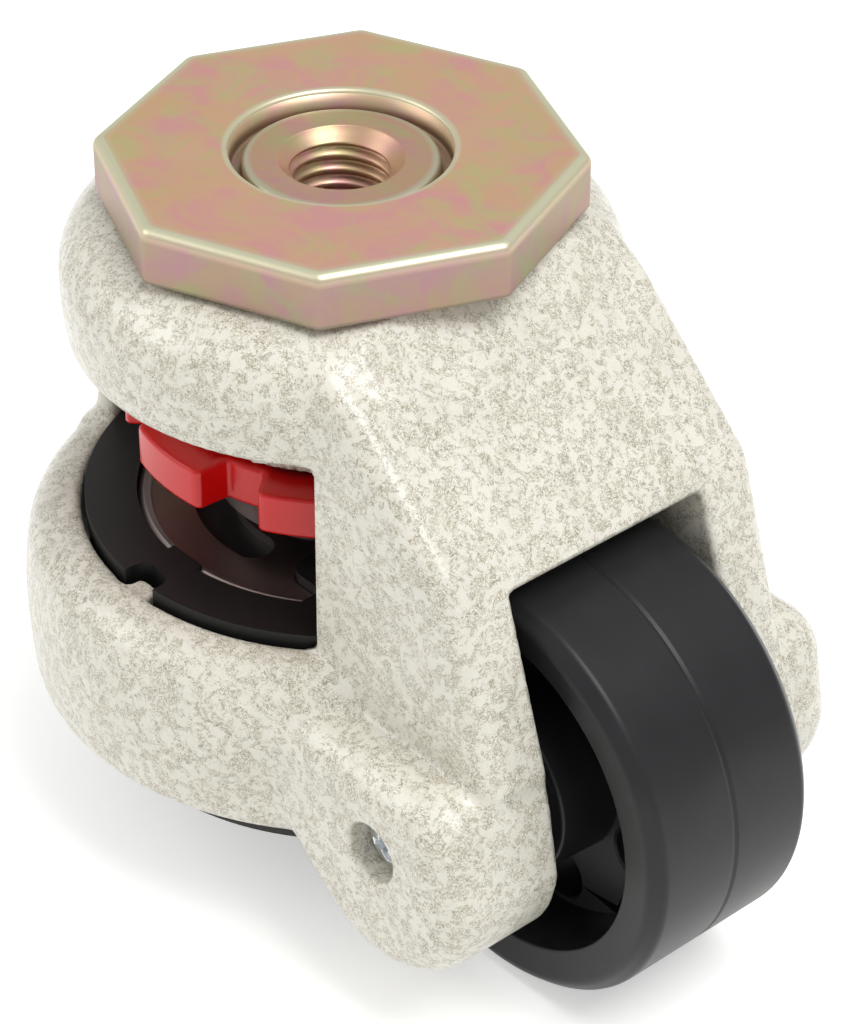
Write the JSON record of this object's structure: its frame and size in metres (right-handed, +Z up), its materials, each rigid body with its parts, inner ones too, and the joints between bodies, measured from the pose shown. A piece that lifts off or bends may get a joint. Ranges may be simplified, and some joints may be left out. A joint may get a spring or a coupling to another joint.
{
  "type": "levelling castor",
  "caption": "Swivel castor with a black nylon wheel beside a retractable foot, lowered by turning a red thumbwheel, under a tapped octagonal plate.",
  "frame": {"origin": "on the swivel axis, at the mouth of the tapped hole's wall, 3 mm below the top face of the plate", "axes": "+Z up along the swivel axis, out of the tapped hole; +X from the swivel axis towards the wheel; +Y along the wheel's axle"},
  "size_m": [0.0986, 0.0722, 0.082],
  "materials": {
    "zinc_chromate": "satin yellow zinc chromate on pressed steel",
    "powder_coat": "glossy speckled cream powder coat on an aluminium casting",
    "bearing_steel": "polished",
    "rubber_black": "matte",
    "nylon_black": "satin moulded nylon",
    "zinc_bright": "bright zinc",
    "steel_dark": "dark phosphated steel",
    "plastic_red": "glossy moulded",
    "nylon_white": "natural nylon",
    "spring_steel": "oiled spring steel"
  },
  "bodies": {
    "plate": {"top_plate": "zinc_chromate", "kingpin": "zinc_chromate"},
    "housing": {"housing": "powder_coat", "upper_balls": "bearing_steel", "lower_balls": "bearing_steel", "dust_seal": "rubber_black", "thrust_washer": "nylon_white", "retaining_ring": "spring_steel", "axle_bolt": "zinc_bright", "axle_nut": "zinc_bright", "axle_sleeve": "zinc_bright", "axle_spacers": "zinc_bright", "bearing_inner_rings": "bearing_steel"},
    "wheel": {"wheel": "nylon_black", "bearing_outer_rings": "bearing_steel", "bearing_shields": "zinc_bright"},
    "thumbwheel": {"thumbwheel": "plastic_red", "drive_nut": "steel_dark"},
    "foot": {"foot_body": "nylon_black", "foot_sole": "rubber_black", "foot_dish": "steel_dark", "foot_screw": "steel_dark", "rivet_washer": "zinc_bright"}
  },
  "joints": [
    {"name": "swivel", "type": "hinge", "parent": "plate", "child": "housing", "pos_m": [0, 0, 0], "axis": [0, 0, 1], "continuous": true},
    {"name": "wheel_spin", "type": "hinge", "parent": "housing", "child": "wheel", "pos_m": [0.0375, 0, -0.054], "axis": [0, 1, 0], "continuous": true},
    {"name": "thumbwheel_turn", "type": "hinge", "parent": "housing", "child": "thumbwheel", "pos_m": [0, 0, 0], "axis": [0, 0, 1], "range_deg": [0, 2700]},
    {"name": "foot_slide", "type": "slide", "parent": "housing", "child": "foot", "axis": [0, 0, -1], "range_m": [0, 0.015]}
  ],
  "couplings": [
    {"joint": "thumbwheel_turn", "follows": "foot_slide", "rad_per_m": 3141.6}
  ]
}
